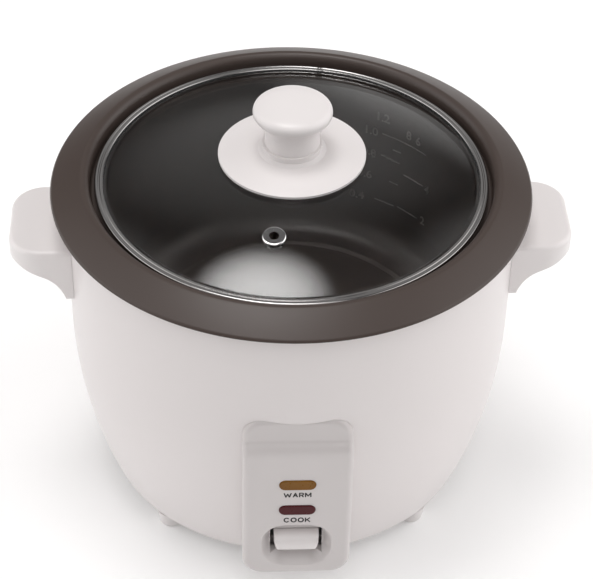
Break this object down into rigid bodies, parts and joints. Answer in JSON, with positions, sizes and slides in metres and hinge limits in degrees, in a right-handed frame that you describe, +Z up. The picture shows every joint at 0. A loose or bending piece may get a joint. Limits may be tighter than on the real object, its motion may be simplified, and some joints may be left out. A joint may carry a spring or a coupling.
{
  "type": "rice cooker",
  "caption": "Electric rice cooker: painted bowl body with side handles, lift-out non-stick pot, glass lid with knob, and a press-down cook lever under two indicator lenses.",
  "frame": {"origin": "floor point under the bowl's axis", "axes": "+Z up, -Y towards the control housing, +Y towards the power inlet, X along the two handles"},
  "size_m": [0.294, 0.25, 0.2323],
  "materials": {
    "body_paint": "satin white enamel",
    "white_plastic": "glossy moulded white",
    "cover_plastic": "fine matte moulding",
    "pot_coating": "satin non-stick coating",
    "lid_glass": "clear tempered glass",
    "rim_steel": "bright rolled stainless",
    "chrome": "bright plated",
    "screw_steel": "zinc plated",
    "sheet_steel": "plain pressed sheet",
    "cast_aluminium": "machined casting",
    "sheet_aluminium": "pressed sheet",
    "element_steel": "oxidised sheath",
    "magnet_metal": "bare",
    "ferrite": "sintered ferrite",
    "spring_steel": "drawn wire",
    "amber_lens": "textured amber",
    "red_lens": "deep red",
    "lamp_glass": "clear bulb",
    "board": "pressed board",
    "black_plastic": "matte black",
    "ceramic": "unglazed",
    "brass": "nickel-washed brass",
    "silicone": "translucent silicone"
  },
  "bodies": {
    "cooker_base": {"outer_body": "body_paint", "inner_shield": "sheet_aluminium", "bottom_cover": "cover_plastic", "feet": "white_plastic", "foot_screws": "screw_steel", "handle_left": "white_plastic", "handle_right": "white_plastic", "handle_screws": "screw_steel", "control_housing": "white_plastic", "housing_screws": "screw_steel", "warm_lens": "amber_lens", "cook_lens": "red_lens", "lamp_holder": "board", "warm_lamp": "lamp_glass", "cook_lamp": "lamp_glass", "heating_plate": "cast_aluminium", "heating_element": "element_steel", "plate_posts": "ceramic", "plate_screws": "screw_steel", "thermostat_bracket": "sheet_steel", "sensor_spring": "spring_steel", "lever_bracket": "sheet_steel", "lever_pin": "screw_steel", "contact_switch": "black_plastic", "switch_screws": "screw_steel", "switch_terminals": "brass", "inlet_housing": "white_plastic", "inlet_pins": "brass", "inlet_screws": "screw_steel", "terminal_block": "ceramic", "thermal_fuse": "ceramic", "warming_resistor": "ceramic"},
    "lever": {"cook_lever": "white_plastic", "lever_arm": "sheet_steel"},
    "button": {"switch_button": "black_plastic"},
    "magnet_carrier": {"magnet": "magnet_metal", "magnet_rod": "sheet_steel"},
    "sensor": {"sensor_cap": "sheet_aluminium", "ferrite": "ferrite", "sensor_sleeve": "sheet_aluminium", "magnet_spring": "spring_steel"},
    "pot": {"inner_pot": "pot_coating"},
    "lid": {"lid_glass": "lid_glass", "lid_rim": "rim_steel", "vent_eyelet": "chrome", "knob_skirt": "white_plastic", "knob": "white_plastic", "knob_seal": "silicone", "knob_washer": "rim_steel", "knob_screw": "screw_steel"}
  },
  "joints": [
    {"name": "pot_lift", "type": "slide", "parent": "cooker_base", "child": "pot", "axis": [0, 0, 1], "range_m": [0, 0.2]},
    {"name": "lid_lift", "type": "slide", "parent": "pot", "child": "lid", "axis": [0, 0, 1], "range_m": [0, 0.15]},
    {"name": "lever_press", "type": "hinge", "parent": "cooker_base", "child": "lever", "pos_m": [0, -0.06, 0.04], "axis": [1, 0, 0], "range_deg": [0, 5], "stiffness_Nm_per_rad": 0.5, "springref_deg": -5.73},
    {"name": "magnet_slide", "type": "slide", "parent": "cooker_base", "child": "magnet_carrier", "axis": [0, 0, 1], "range_m": [0, 0.0054], "deforming": ["magnet_spring"]},
    {"name": "switch_press", "type": "slide", "parent": "cooker_base", "child": "button", "axis": [0, 0, 1], "range_m": [-0.0021, 0]},
    {"name": "sensor_rise", "type": "slide", "parent": "cooker_base", "child": "sensor", "axis": [0, 0, 1], "range_m": [0, 0.0026], "deforming": ["sensor_spring"]}
  ],
  "couplings": [
    {"joint": "magnet_slide", "follows": "lever_press", "m_per_rad": 0.06},
    {"joint": "switch_press", "follows": "lever_press", "m_per_rad": -0.022},
    {"joint": "sensor_rise", "follows": "pot_lift", "ratio": 0.0125}
  ]
}
